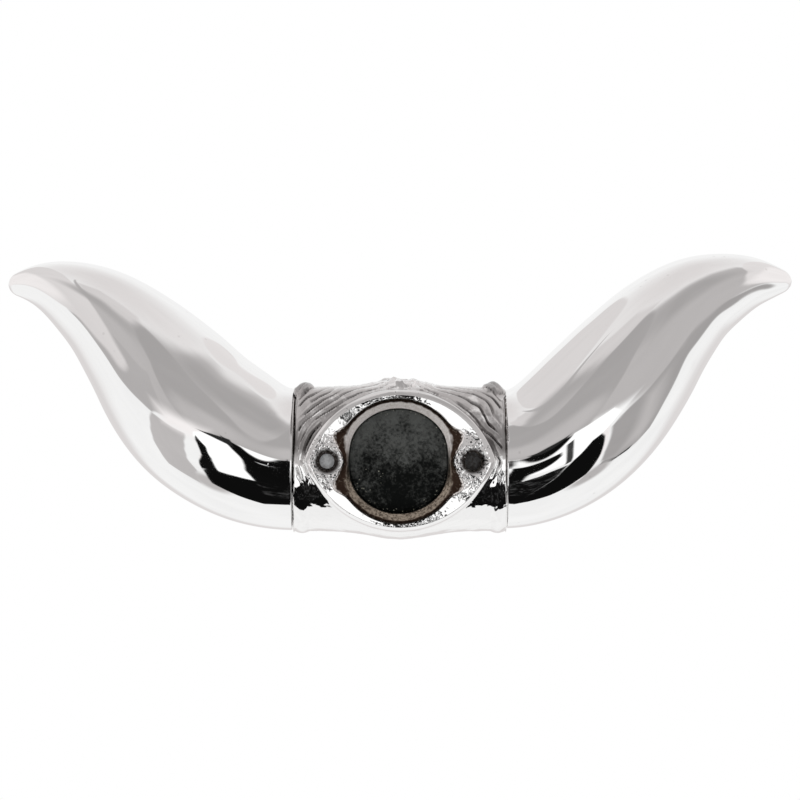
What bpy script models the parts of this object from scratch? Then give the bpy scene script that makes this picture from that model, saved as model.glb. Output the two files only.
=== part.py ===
"""Chromed bull horn ornament: a hide-wrapped centre casting with a horn plugged into each end.

Metres, +Z up, +X to the right. The flat mounting pad lies in the plane y = 0 and faces -Y.
The origin is the middle of the line between the two screw holes, on the pad.
"""
import math

import bmesh
import bpy
from mathutils import Matrix, Vector, noise

MM = 0.001

# Centre casting, in millimetres
BARREL_HALF = 36.7          # half length along X, to the edge of the collar lips
BARREL_AXIS_Y = 30.0        # how far the barrel's axis stands behind the pad face
BARREL_RADIUS = 25.3
FRONT_BULGE = 2.4           # the far side swells at mid length
TUFT_HEIGHT = 3.4           # combed tuft on the crown
TUFT_WIDTH = 10.5
BELLY_HEIGHT = 3.0          # swelling below the pad
BELLY_WIDTH = 14.0
LIP_WIDTH = 3.6             # rolled collar lip at each end
LIP_HEIGHT = 0.9
BARREL_SIDES = 64
BARREL_RINGS = 37

# Hide folds: grooves that run side by side along the pad's upper edge
FOLD_PITCH = 6.0
FOLD_DEPTH = 0.75
FOLD_WANDER = 2.6
FOLD_WANDER_SIZE = 17.0
LOWER_SHARE = 0.35          # the hide is smoother below the pad

# Mounting pad: a pointed oval where two arcs meet, with walls that flare towards the barrel
PAD_HALF_HEIGHT = 23.6
PAD_ARC_RADIUS = 34.0
PAD_FLARE = 2.0
PAD_DEPTH = 20.0
PAD_SIDES = 112

# Round pocket in the pad, with an ear at each corner and a bite for each screw boss
POCKET_CENTRE_X = -0.5
POCKET_RADIUS = 21.9
FLOOR_RADIUS = 18.2
EAR_REACH, EAR_ANGLE, EAR_SPREAD = 2.6, 22.5, 8.0
BITE_REACH, BITE_SPREAD = 2.6, 11.0
POCKET_LAYERS = ((-1.0, 0.0), (0.0, 0.0), (9.0, 0.35), (12.4, 0.7), (14.0, 1.0))
POCKET_SIDES = 64

# Blind screw holes for a quarter inch thread, two inches apart
SCREW_SPACING = 50.8
SCREW_DIAMETER = 5.15
SCREW_DEPTH = 10.0
SCREW_SIDES = 24

# Joint between a horn and the casting
GAP = 0.3
SPIGOT_RADIUS = 22.6
SPIGOT_LENGTH = 2.6
ROOT_CHAMFER = 0.7
ROOT_STEP = 0.02
SOCKET_SIDES = 48

# Horns from root to tip: distance from the middle, depth, height and radius
LEFT_STATIONS = (
    (45.5, 30.0, 0.9, 25.4),
    (54.0, 30.1, 3.8, 26.2),
    (63.0, 30.5, 9.0, 26.9),
    (72.5, 31.3, 16.0, 26.8),
    (82.5, 32.8, 27.1, 25.4),
    (93.0, 34.8, 39.4, 21.8),
    (104.5, 37.2, 50.6, 17.6),
    (115.5, 39.8, 57.8, 13.7),
    (125.5, 42.2, 62.0, 9.6),
    (133.5, 44.2, 63.2, 6.2),
    (138.6, 45.4, 62.9, 3.9),
)
RIGHT_STATIONS = (
    (45.5, 30.0, 1.3, 24.5),
    (54.0, 30.1, 5.0, 25.0),
    (63.0, 30.5, 11.5, 25.6),
    (72.5, 31.3, 21.1, 25.4),
    (82.5, 32.8, 33.0, 23.7),
    (93.0, 34.8, 45.6, 20.7),
    (104.5, 37.2, 55.6, 17.2),
    (115.5, 39.8, 60.9, 13.6),
    (125.5, 42.2, 63.7, 9.8),
    (133.5, 44.2, 64.1, 6.5),
    (138.6, 45.4, 64.1, 3.9),
)
LEFT_ROOT_RADIUS = 25.1
RIGHT_ROOT_RADIUS = 24.6
STEPS_PER_SPAN = 3
TIP_LENGTH = 2.9            # rounded end past the last station
TIP_STEPS = 4
HORN_BEVEL_RESOLUTION = 10

CHROME = {"Base Color": (0.86, 0.86, 0.87, 1.0), "Roughness": 0.08, "Metallic": 1.0}


def clear_scene():
    """Remove every object that is already in the scene."""
    for item in list(bpy.data.objects):
        bpy.data.objects.remove(item, do_unlink=True)


def make_collection(name):
    """Return a new collection linked to the scene."""
    collection = bpy.data.collections.new(name)
    bpy.context.scene.collection.children.link(collection)
    return collection


def make_finish(name, values):
    """Return a material whose shader has the given socket values."""
    finish = bpy.data.materials.new(name)
    finish.use_nodes = True
    shader = finish.node_tree.nodes["Principled BSDF"]
    for socket, value in values.items():
        shader.inputs[socket].default_value = value
    return finish


def add_object(name, data, collection):
    """Link data to the collection as an object."""
    item = bpy.data.objects.new(name, data)
    collection.objects.link(item)
    return item


def add_boolean(item, operation, other):
    """Join, cut or intersect the item with the other object."""
    modifier = item.modifiers.new(other.name, "BOOLEAN")
    modifier.operation = operation
    modifier.object = other


def mark_as_cutter(item):
    """Show a construction solid as wire only."""
    item.hide_render = True
    item.display_type = "WIRE"


def mesh_from(bm, name):
    """Turn the bmesh into a smooth mesh whose faces point outwards."""
    bmesh.ops.recalc_face_normals(bm, faces=bm.faces)
    mesh = bpy.data.meshes.new(name)
    bm.to_mesh(mesh)
    bm.free()
    mesh.shade_smooth()
    mesh.set_sharp_from_angle(angle=math.radians(35.0))
    return mesh


def rolled_grid(name, rings, sides, point):
    """Roll a grid into a tube, place each vertex with point(ring, turn), and close its ends."""
    bm = bmesh.new()
    bmesh.ops.create_grid(bm, x_segments=rings - 1, y_segments=sides, size=1.0)
    for vert in bm.verts:
        ring = round((vert.co.x + 1.0) / 2.0 * (rings - 1))
        vert.co = point(ring, math.pi * vert.co.y) * MM
    bmesh.ops.remove_doubles(bm, verts=bm.verts, dist=0.001 * MM)
    ends = [edge for edge in bm.edges if edge.is_boundary]
    bmesh.ops.holes_fill(bm, edges=ends, sides=0)
    return mesh_from(bm, name)


def rod_mesh(name, radius, depth, sides, axis, end_radius=None):
    """Cylinder or cone centred on the origin along the named axis, in millimetres."""
    turn = Matrix.Rotation(math.pi / 2.0, 4, "X" if axis == "Y" else "Y")
    bm = bmesh.new()
    bmesh.ops.create_cone(
        bm, cap_ends=True, segments=sides, radius1=radius * MM,
        radius2=(end_radius or radius) * MM, depth=depth * MM, matrix=turn,
    )
    return mesh_from(bm, name)


def smooth_step(value):
    """Ease from 0 to 1 as the value goes from 0 to 1."""
    clamped = min(max(value, 0.0), 1.0)
    return clamped * clamped * (3.0 - 2.0 * clamped)


def bell(value, spread):
    """Bell curve of height one."""
    return math.exp(-((value / spread) ** 2))


def fold_height(x, turn):
    """Height of the hide's folds at x along the barrel and a turn round it, where 0 faces -Y."""
    around = abs(turn) * BARREL_RADIUS
    ring = math.hypot(x, around + PAD_ARC_RADIUS - PAD_HALF_HEIGHT) - PAD_ARC_RADIUS
    place = Vector((x, BARREL_RADIUS * math.cos(turn), BARREL_RADIUS * math.sin(turn)))
    wander = FOLD_WANDER * noise.noise(place / FOLD_WANDER_SIZE)
    wave = math.sin(math.tau * (ring + wander) / FOLD_PITCH)
    below = smooth_step(-2.5 * math.sin(turn)) * smooth_step(1.0 + 2.0 * math.cos(turn))
    share = 1.0 - (1.0 - LOWER_SHARE) * below
    inside_lip = smooth_step((BARREL_HALF - LIP_WIDTH - abs(x)) / LIP_WIDTH)
    return FOLD_DEPTH * wave * share * inside_lip


def barrel_radius(x, turn):
    """Radius of the hide-wrapped barrel at x along it and a turn round it."""
    upward, away = math.sin(turn), -math.cos(turn)
    front = FRONT_BULGE * (1.0 - (x / BARREL_HALF) ** 2) * smooth_step(away)
    tuft = TUFT_HEIGHT * bell(x, TUFT_WIDTH) * smooth_step(2.0 * upward - 0.9)
    belly = BELLY_HEIGHT * bell(x, BELLY_WIDTH) * smooth_step(-2.0 * upward - 0.9)
    from_edge = min((BARREL_HALF - abs(x)) / LIP_WIDTH, 1.0)
    lip = LIP_HEIGHT * math.sin(math.pi * from_edge)
    return BARREL_RADIUS + front + tuft + belly + lip + fold_height(x, turn)


def barrel_point(ring, turn):
    """Point of the barrel's surface, with the rings closer together near the lips."""
    spread = 0.31 * math.pi
    x = BARREL_HALF * math.sin(spread * (2.0 * ring / (BARREL_RINGS - 1) - 1.0)) / math.sin(spread)
    radius = barrel_radius(x, turn)
    return Vector((x, BARREL_AXIS_Y - radius * math.cos(turn), radius * math.sin(turn)))


def pocket_point(ring, turn):
    """Point of the pocket's wall: its mouth has ears and bites, and its floor is round."""
    depth, share = POCKET_LAYERS[ring]
    angle = math.degrees(math.atan2(abs(math.sin(turn)), abs(math.cos(turn))))
    mouth = POCKET_RADIUS + EAR_REACH * bell(angle - EAR_ANGLE, EAR_SPREAD)
    mouth -= BITE_REACH * bell(angle, BITE_SPREAD)
    radius = mouth + (FLOOR_RADIUS - mouth) * share
    return Vector((POCKET_CENTRE_X + radius * math.cos(turn), depth, radius * math.sin(turn)))


def make_pad(cutters):
    """Pad solid: the common part of two flared discs, one above and one below the middle."""
    discs = []
    for name, side in (("pad_upper_arc", -1.0), ("pad_lower_arc", 1.0)):
        mesh = rod_mesh(name, PAD_ARC_RADIUS + PAD_FLARE, PAD_DEPTH, PAD_SIDES, "Y", PAD_ARC_RADIUS)
        disc = add_object(name, mesh, cutters)
        offset = side * (PAD_ARC_RADIUS - PAD_HALF_HEIGHT)
        disc.location = Vector((0.0, PAD_DEPTH / 2.0, offset)) * MM
        mark_as_cutter(disc)
        discs.append(disc)
    add_boolean(discs[0], "INTERSECT", discs[1])
    return discs[0]


def make_hollows(cutters):
    """Cutters for the pocket, the two screw holes and the two horn sockets."""
    pocket = rolled_grid("pocket", len(POCKET_LAYERS), POCKET_SIDES, pocket_point)
    hollows = [add_object("pocket", pocket, cutters)]
    socket_depth = SPIGOT_LENGTH + GAP
    for name, side in (("left", -1.0), ("right", 1.0)):
        hole = rod_mesh("hole", SCREW_DIAMETER / 2.0, 2.0 * SCREW_DEPTH, SCREW_SIDES, "Y")
        screw = add_object(name + "_screw_hole", hole, cutters)
        screw.location = Vector((side * SCREW_SPACING / 2.0, 0.0, 0.0)) * MM
        bore = rod_mesh("socket", SPIGOT_RADIUS + GAP, 2.0 * socket_depth, SOCKET_SIDES, "X")
        socket = add_object(name + "_socket", bore, cutters)
        socket.location = Vector((side * BARREL_HALF, BARREL_AXIS_Y, 0.0)) * MM
        hollows += [screw, socket]
    for hollow in hollows:
        mark_as_cutter(hollow)
    return hollows


def make_hide_wrap(parts, cutters, finish):
    """Centre casting: wrinkled barrel with its pad, less the pocket, screw holes and sockets."""
    mesh = rolled_grid("hide_wrap", BARREL_RINGS, BARREL_SIDES, barrel_point)
    wrap = add_object("hide_wrap", mesh, parts)
    mesh.materials.append(finish)
    add_boolean(wrap, "UNION", make_pad(cutters))
    for hollow in make_hollows(cutters):
        add_boolean(wrap, "DIFFERENCE", hollow)


def curve_through(stations):
    """Points on a smooth curve through the stations that leaves the first one along X."""
    root, first = stations[:2]
    mirrored = (2 * root[0] - first[0], *first[1:])
    beyond = tuple(2 * a - b for a, b in zip(stations[-1], stations[-2]))
    knots = [mirrored, *stations, beyond]
    points = []
    for number in range(1, len(knots) - 2):
        before, start, finish, after = knots[number - 1:number + 3]
        for step in range(STEPS_PER_SPAN):
            t = step / STEPS_PER_SPAN
            points.append(tuple(
                0.5 * (2 * b + (c - a) * t + (2 * a - 5 * b + 4 * c - d) * t ** 2
                       + (3 * b - a - 3 * c + d) * t ** 3)
                for a, b, c, d in zip(before, start, finish, after)
            ))
    return points + [stations[-1]]


def horn_points(stations, root_radius):
    """Spigot, root edge, smooth body and rounded tip of one horn, as (x, y, z, radius)."""
    axis_y = BARREL_AXIS_Y
    shoulder = BARREL_HALF + GAP
    points = [
        (BARREL_HALF - SPIGOT_LENGTH, axis_y, 0.0, SPIGOT_RADIUS),
        (shoulder, axis_y, 0.0, SPIGOT_RADIUS),
        (shoulder + ROOT_STEP, axis_y, 0.0, root_radius - ROOT_CHAMFER),
    ]
    body = curve_through(((shoulder + ROOT_CHAMFER, axis_y, 0.0, root_radius), *stations))
    points += body
    last = Vector(body[-1][:3])
    heading = (last - Vector(body[-2][:3])).normalized()
    for step in range(1, TIP_STEPS + 1):
        angle = 0.45 * math.pi * step / TIP_STEPS
        place = last + heading * TIP_LENGTH * math.sin(angle)
        points.append((*place, body[-1][3] * math.cos(angle)))
    return points


def make_horn(name, side, points, parts, finish):
    """One horn: a round section swept along its axis, thick at the middle and fine at the tip."""
    data = bpy.data.curves.new(name, "CURVE")
    data.dimensions = "3D"
    data.bevel_depth = MM
    data.bevel_resolution = HORN_BEVEL_RESOLUTION
    data.use_fill_caps = True
    data.materials.append(finish)
    spline = data.splines.new("POLY")
    spline.points.add(len(points) - 1)
    for point, (x, y, z, radius) in zip(spline.points, points):
        point.co = (side * x * MM, y * MM, z * MM, 1.0)
        point.radius = radius
    spline.use_smooth = True
    add_object(name, data, parts)


def build():
    """Model the whole ornament."""
    clear_scene()
    parts = make_collection("bull_horn_ornament")
    cutters = make_collection("cutters")
    chrome = make_finish("polished_chrome", CHROME)
    make_hide_wrap(parts, cutters, chrome)
    make_horn("left_horn", -1.0, horn_points(LEFT_STATIONS, LEFT_ROOT_RADIUS), parts, chrome)
    make_horn("right_horn", 1.0, horn_points(RIGHT_STATIONS, RIGHT_ROOT_RADIUS), parts, chrome)


build()
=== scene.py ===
"""Looks of the chromed bull horn ornament: two horns plugged into a hide-wrapped centre casting."""
import logging
import math
from dataclasses import dataclass
from enum import Enum, IntEnum
from functools import partial, reduce
from typing import Callable

import bmesh
import bpy
from mathutils import Matrix, Vector, noise


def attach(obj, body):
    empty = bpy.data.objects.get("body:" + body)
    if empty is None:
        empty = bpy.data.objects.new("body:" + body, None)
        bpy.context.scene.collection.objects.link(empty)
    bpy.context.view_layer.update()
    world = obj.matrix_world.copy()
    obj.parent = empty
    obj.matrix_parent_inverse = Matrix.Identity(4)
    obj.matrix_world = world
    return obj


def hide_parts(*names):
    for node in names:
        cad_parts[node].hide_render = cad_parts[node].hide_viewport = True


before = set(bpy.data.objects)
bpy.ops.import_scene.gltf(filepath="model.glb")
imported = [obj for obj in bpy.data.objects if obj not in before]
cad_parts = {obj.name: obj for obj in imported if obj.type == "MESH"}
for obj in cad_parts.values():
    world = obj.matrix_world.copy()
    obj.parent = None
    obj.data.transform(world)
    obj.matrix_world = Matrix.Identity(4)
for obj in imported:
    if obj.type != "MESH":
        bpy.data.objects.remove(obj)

Point = Callable[[float], Vector]
Socket = bpy.types.NodeSocket
Value = float | tuple | Socket
Colour = tuple[float, float, float, float]
Pair = tuple[float, float]

LOG = logging.getLogger("bull_horn_ornament")
MM = 0.001
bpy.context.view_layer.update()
BODY = "root"
REFLECTANCE = 0.93
WHITE: Colour = (1.0, 1.0, 1.0, 1.0)

# Millimetres that the casting's shape and its finishes share.
SCREW_SPACING = 50.8
POCKET_CENTRE = -0.5
FOOT_DEPTH = 2.0
RING_DEPTH = 3.7


class Side(Enum):
    """The two ends of the centre casting, as signs along X."""

    LEFT = -1.0
    RIGHT = 1.0


class Zone(IntEnum):
    """Material slots of the centre casting."""

    PLATED = 0
    POCKET = 1
    SCREW_HOLE = 2


def smooth_step(value: float) -> float:
    """Ease from 0 to 1 as the value goes from 0 to 1."""
    clamped = min(max(value, 0.0), 1.0)
    return clamped * clamped * (3.0 - 2.0 * clamped)


def bell(value: float, spread: float) -> float:
    """Bell curve of height one."""
    return math.exp(-((value / spread) ** 2))


def eased(value: float, low: float, high: float) -> float:
    """Ease from 0 to 1 as the value goes from low to high."""
    return smooth_step((value - low) / (high - low))


def bumps(place: Vector, size: float, height: float, shift: float = 0.0) -> float:
    """Return noise of one size and height at a place."""
    return height * noise.noise(place / size + Vector((shift, shift, shift)))


def radiance(grey: float) -> float:
    """Return the light that polished chrome must see to show a display grey of 0 to 255."""
    shown = grey / 255.0
    linear = shown / 12.92 if shown <= 0.04045 else ((shown + 0.055) / 1.055) ** 2.4
    return linear / REFLECTANCE


class Graph:
    """Short hand for adding nodes to one node tree."""

    def __init__(self, tree: bpy.types.NodeTree) -> None:
        """Keep the tree.

        Args:
            tree: the node tree that receives the nodes.
        """
        self.tree = tree

    def node(self, kind: str, *inputs: Value | None, **settings: object) -> bpy.types.Node:
        """Add one node.

        Args:
            kind: the node's type name.
            inputs: a constant or a socket for each input in order; None leaves an input as it is.
            settings: properties of the node.

        Returns:
            The new node.
        """
        made = self.tree.nodes.new(kind)
        for name, value in settings.items():
            setattr(made, name, value)
        for socket, value in zip(made.inputs, inputs):
            self.feed(socket, value)
        return made

    def feed(self, socket: Socket, value: Value | None) -> None:
        """Link a socket to the input, or set the input's constant."""
        if isinstance(value, bpy.types.NodeSocket):
            self.tree.links.new(value, socket)
        elif value is not None:
            socket.default_value = value

    def math(self, operation: str, *values: Value) -> Socket:
        """Return the result of a Math node."""
        return self.node("ShaderNodeMath", *values, operation=operation).outputs[0]

    def times(self, *values: Value) -> Socket:
        """Return the product of the values."""
        return reduce(partial(self.math, "MULTIPLY"), values)

    def plus(self, *values: Value) -> Socket:
        """Return the sum of the values."""
        return reduce(partial(self.math, "ADD"), values)

    def highest(self, *values: Value) -> Socket:
        """Return the greatest of the values."""
        return reduce(partial(self.math, "MAXIMUM"), values)

    def vector(self, operation: str, *values: Value) -> Socket:
        """Return the vector result of a Vector Math node."""
        return self.node("ShaderNodeVectorMath", *values, operation=operation).outputs["Vector"]

    def measure(self, operation: str, *values: Value) -> Socket:
        """Return the number that a Vector Math node gives."""
        return self.node("ShaderNodeVectorMath", *values, operation=operation).outputs["Value"]

    def ramp(self, value: Value, low: float, high: float, start: float = 0.0, end: float = 1.0) -> Socket:
        """Return the value eased from start to end as it goes from low to high."""
        made = self.node("ShaderNodeMapRange", value, low, high, start, end, interpolation_type="SMOOTHSTEP")
        return made.outputs["Result"]

    def fade(self, value: Value, low: float, high: float) -> Socket:
        """Return 1 below low, eased to 0 at high."""
        return self.ramp(value, low, high, 1.0, 0.0)

    def between(self, mask: Value, first: float, second: float) -> Socket:
        """Return a number between the first and the second, eased by a mask."""
        return self.ramp(mask, 0.0, 1.0, first, second)

    def blend(self, share: Value, first: Value, second: Value) -> Socket:
        """Return a colour between the first and the second."""
        made = self.node("ShaderNodeMix", data_type="RGBA")
        for name, value in (("Factor_Float", share), ("A_Color", first), ("B_Color", second)):
            self.feed(next(s for s in made.inputs if s.identifier == name), value)
        return next(s for s in made.outputs if s.identifier == "Result_Color")

    def noise(self, place: Socket, scale: Value, detail: float = 2.0, roughness: float = 0.5,
              distortion: float = 0.0) -> Socket:
        """Return the grey value of a Noise Texture."""
        made = self.node("ShaderNodeTexNoise")
        for name, value in (("Vector", place), ("Scale", scale), ("Detail", detail),
                            ("Roughness", roughness), ("Distortion", distortion)):
            self.feed(made.inputs[name], value)
        return made.outputs["Fac"]


def new_group(name: str, inputs: tuple[str, ...], outputs: tuple[str, ...]
              ) -> tuple[Graph, bpy.types.NodeOutputs, Socket]:
    """Start a shader node group that takes a vector, a size in millimetres and further numbers.

    Args:
        name: name of the group.
        inputs: names of the further inputs, all plain numbers.
        outputs: names of the outputs, all plain numbers.

    Returns:
        The group's graph, its inputs by name, and the texture scale that its size stands for.
    """
    tree = bpy.data.node_groups.new(name, "ShaderNodeTree")
    tree.interface.new_socket("Vector", in_out="INPUT", socket_type="NodeSocketVector")
    for label in ("Size", *inputs):
        tree.interface.new_socket(label, in_out="INPUT", socket_type="NodeSocketFloat")
    for label in outputs:
        tree.interface.new_socket(label, in_out="OUTPUT", socket_type="NodeSocketFloat")
    graph = Graph(tree)
    given = graph.node("NodeGroupInput").outputs
    return graph, given, graph.math("DIVIDE", 1.0 / MM, given["Size"])


@dataclass(frozen=True)
class Effects:
    """Surface effects that several finishes share, each a node group built once."""

    ripple: bpy.types.NodeTree
    pits: bpy.types.NodeTree
    film: bpy.types.NodeTree

    @classmethod
    def build(cls) -> "Effects":
        """Build the three groups."""
        return cls(cls.make_ripple(), cls.make_pits(), cls.make_film())

    @staticmethod
    def make_ripple() -> bpy.types.NodeTree:
        """Return the uneven surface that polishing and plating leave, its rise in millimetres."""
        graph, given, scale = new_group("surface_ripple", ("Rise",), ("Height",))
        swell = graph.noise(given["Vector"], scale, detail=1.5)
        graph.node("NodeGroupOutput", graph.times(graph.math("SUBTRACT", swell, 0.5), given["Rise"]))
        return graph.tree

    @staticmethod
    def make_pits() -> bpy.types.NodeTree:
        """Return scattered round pits, their depth in millimetres, coverage as a share of the cells."""
        graph, given, scale = new_group("plating_pits", ("Coverage", "Depth"), ("Mask", "Height"))
        cells = graph.node("ShaderNodeTexVoronoi")
        graph.feed(cells.inputs["Vector"], given["Vector"])
        graph.feed(cells.inputs["Scale"], scale)
        chance = graph.node("ShaderNodeSeparateColor", cells.outputs["Color"]).outputs[0]
        chosen = graph.math("LESS_THAN", chance, given["Coverage"])
        pit_edge = (0.12, 0.42)
        mask = graph.times(chosen, graph.fade(cells.outputs["Distance"], *pit_edge))
        graph.node("NodeGroupOutput", mask, graph.times(mask, graph.times(given["Depth"], -1.0)))
        return graph.tree

    @staticmethod
    def make_film() -> bpy.types.NodeTree:
        """Return a cloudy film or deposit, its amount from 0 to 1."""
        graph, given, scale = new_group("cloudy_film", ("Amount",), ("Mask",))
        cloud = graph.noise(given["Vector"], scale, detail=4.0, roughness=0.62, distortion=0.4)
        bare_above, reach, softness = 0.78, 0.56, 0.1
        threshold = graph.math("SUBTRACT", bare_above, graph.times(given["Amount"], reach))
        rise = graph.math("SUBTRACT", cloud, threshold)
        graph.node("NodeGroupOutput", graph.ramp(rise, -softness, softness))
        return graph.tree


class Finish:
    """Common parts of every finish: the graph, the surface's own coordinates and the shader."""

    def __init__(self, name: str, effects: Effects) -> None:
        """Start a material.

        Args:
            name: name of the material.
            effects: the shared node groups.
        """
        self.material = bpy.data.materials.new(name)
        self.material.use_nodes = True
        self.effects = effects
        self.graph = Graph(self.material.node_tree)
        self.shader = self.material.node_tree.nodes["Principled BSDF"]
        self.place = self.graph.node("ShaderNodeTexCoord").outputs["Object"]
        millimetres = self.graph.vector("MULTIPLY", self.place, (1.0 / MM,) * 3)
        self.x, self.y, self.z = self.graph.node("ShaderNodeSeparateXYZ", millimetres).outputs

    def effect(self, tree: bpy.types.NodeTree, **values: Value) -> bpy.types.NodeOutputs:
        """Lay a shared effect over the surface, fill its named inputs and return its outputs."""
        made = self.graph.node("ShaderNodeGroup", node_tree=tree)
        for name, value in {"vector": self.place, **values}.items():
            self.graph.feed(made.inputs[name.capitalize()], value)
        return made.outputs

    def ripple(self, size: float, rise: float) -> Socket:
        """Return one scale of uneven surface, in millimetres."""
        return self.effect(self.effects.ripple, size=size, rise=rise)["Height"]

    def pits(self, size: float, coverage: Value, depth: float) -> tuple[Socket, Socket]:
        """Return the mask and the height of scattered pits."""
        made = self.effect(self.effects.pits, size=size, coverage=coverage, depth=depth)
        return made["Mask"], made["Height"]

    def film(self, size: float, amount: Value) -> Socket:
        """Return the mask of a cloudy film."""
        return self.effect(self.effects.film, size=size, amount=amount)["Mask"]

    def from_axis(self, across: float, up: float) -> Socket:
        """Return the distance in millimetres from a line along Y through the given x and z."""
        flat = self.graph.node("ShaderNodeCombineXYZ", self.x, 0.0, self.z).outputs[0]
        return self.graph.measure("DISTANCE", flat, (across, 0.0, up))

    def set(self, **values: Value) -> None:
        """Feed the shader's named inputs."""
        for name, value in values.items():
            self.graph.feed(self.shader.inputs[name.replace("_", " ").title().replace("Ior", "IOR")], value)

    def bump(self, ripples: tuple[Pair, ...], *heights: Socket) -> None:
        """Feed the shader's normal.

        Args:
            ripples: size and rise of each scale of uneven surface, in millimetres.
            heights: further heights in millimetres.
        """
        made = self.graph.node("ShaderNodeBump")
        made.inputs["Distance"].default_value = MM
        made.inputs["Strength"].default_value = 1.0
        self.graph.feed(made.inputs["Height"], self.graph.plus(*(self.ripple(*r) for r in ripples), *heights))
        self.graph.feed(self.shader.inputs["Normal"], made.outputs["Normal"])


@dataclass(frozen=True)
class PolishedPlating:
    """Mirror-bright plating of the horns, with faint waves, a thin haze and a few pits."""

    colour: Colour = (0.93, 0.928, 0.925, 1.0)
    seam_colour: Colour = (0.16, 0.13, 0.11, 1.0)
    seam_reach: Pair = (37.0, 37.8)
    seam_film: Pair = (1.6, 0.62)
    seam_roughness: float = 0.4
    haze_film: Pair = (14.0, 0.45)
    haze_roughness: Pair = (0.022, 0.05)
    pits: tuple[float, float, float] = (1.9, 0.012, 0.006)
    pit_darkness: float = 0.12
    waves: tuple[Pair, ...] = ((24.0, 0.05), (7.0, 0.004), (1.6, 0.0004))

    def material(self, effects: Effects) -> bpy.types.Material:
        """Build the finish."""
        finish = Finish("polished_plating", effects)
        graph = finish.graph
        out = graph.math("ABSOLUTE", finish.x)
        seam = graph.times(graph.fade(out, *self.seam_reach), finish.film(*self.seam_film))
        pit_mask, pit_height = finish.pits(*self.pits)
        dark = graph.highest(seam, graph.times(pit_mask, self.pit_darkness))
        rough = graph.between(finish.film(*self.haze_film), *self.haze_roughness)
        finish.set(base_color=graph.blend(dark, self.colour, self.seam_colour), metallic=1.0,
                   roughness=graph.plus(rough, graph.times(seam, self.seam_roughness)))
        finish.bump(self.waves, pit_height)
        return finish.material


@dataclass(frozen=True)
class CastPlating:
    """Plating over the grainy casting: bright, rippled, rough round the screw holes, with painted shade in
    the creases.

    Most pairs are the distances in millimetres, behind the pad's face, from a hole or up from the
    middle, over which an effect comes or goes. Films are a size and an amount, waves a size and a rise.
    """

    colour: Colour = (0.92, 0.915, 0.91, 1.0)
    dull: Colour = (0.56, 0.545, 0.54, 1.0)
    # Near-black for the burrs round the holes and the pits, and for the painted shade in the creases.
    stain_and_shade: Colour = (0.035, 0.03, 0.027, 1.0)
    face: Pair = (0.5, 1.4)
    burr_reach: Pair = (3.6, 5.2)
    burr_depth: Pair = (0.9, 1.8)
    burr_film: Pair = (0.9, 0.84)
    rough_ends: Pair = (6.0, 13.0)
    least_rough: float = 0.15
    pit_size: float = 0.8
    pit_depth: float = 0.03
    pit_coverage: Pair = (0.02, 0.24)
    pit_relief: Pair = (0.12, 1.0)
    pit_stain: float = 0.7
    grain: Pair = (0.9, 0.05)
    # How dark the painted shade in the creases and on the knuckles is.
    crease_shade: float = 0.95
    upper_half: Pair = (0.0, 5.0)
    crown: Pair = (23.5, 27.0)
    crown_share: float = 0.2
    low_band: Pair = (3.0, 15.0)
    low_darkening: float = 0.42
    dull_film: Pair = (6.0, 0.72)
    smear_film: Pair = (3.0, 0.5)
    roughness: Pair = (0.025, 0.075)
    waves: tuple[Pair, ...] = ((5.0, 0.02), (1.5, 0.013))

    def material(self, effects: Effects) -> bpy.types.Material:
        """Build the finish."""
        finish = Finish("cast_plating", effects)
        graph = finish.graph
        face = graph.fade(finish.y, *self.face)
        left, right = (finish.from_axis(side.value * SCREW_SPACING / 2.0, 0.0) for side in Side)
        holes = graph.math("MINIMUM", left, right)
        burr = graph.times(graph.fade(holes, *self.burr_reach), graph.fade(finish.y, *self.burr_depth))
        ends = graph.times(graph.ramp(holes, *self.rough_ends, 1.0, self.least_rough), face)
        coverage = graph.between(ends, *self.pit_coverage)
        pit_mask, pit_height = finish.pits(self.pit_size, coverage, self.pit_depth)
        # Painted shade: the creases between the pleats and the knuckles at the lips are darkened by the
        # values stored on the mesh.
        crease = graph.node("ShaderNodeAttribute", attribute_name="crease").outputs["Fac"]
        # Duller, cloudy colour over the barrel's upper half behind the face, fading towards the crown, and
        # darker towards the lower edge of that half.
        upper_barrel = graph.times(graph.math("SUBTRACT", 1.0, face), graph.ramp(finish.z, *self.upper_half),
                           graph.ramp(finish.z, *self.crown, 1.0, self.crown_share))
        # Dark marks: burrs round the holes and pits, painted shade in the creases and on the knuckles, and a
        # darker band low on the upper barrel.
        stain_and_shade = graph.highest(
            graph.times(burr, finish.film(*self.burr_film)),
            graph.times(pit_mask, face, self.pit_stain),
            graph.times(crease, self.crease_shade),
            graph.times(upper_barrel, graph.ramp(finish.z, *self.low_band, self.low_darkening, 0.0)),
        )
        body = graph.blend(graph.times(finish.film(*self.dull_film), upper_barrel), self.colour, self.dull)
        finish.set(base_color=graph.blend(stain_and_shade, body, self.stain_and_shade), metallic=1.0,
                   roughness=graph.between(finish.film(*self.smear_film), *self.roughness))
        finish.bump(self.waves, graph.times(finish.ripple(*self.grain), ends),
                    graph.times(pit_height, graph.between(face, *self.pit_relief)))
        return finish.material


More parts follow.
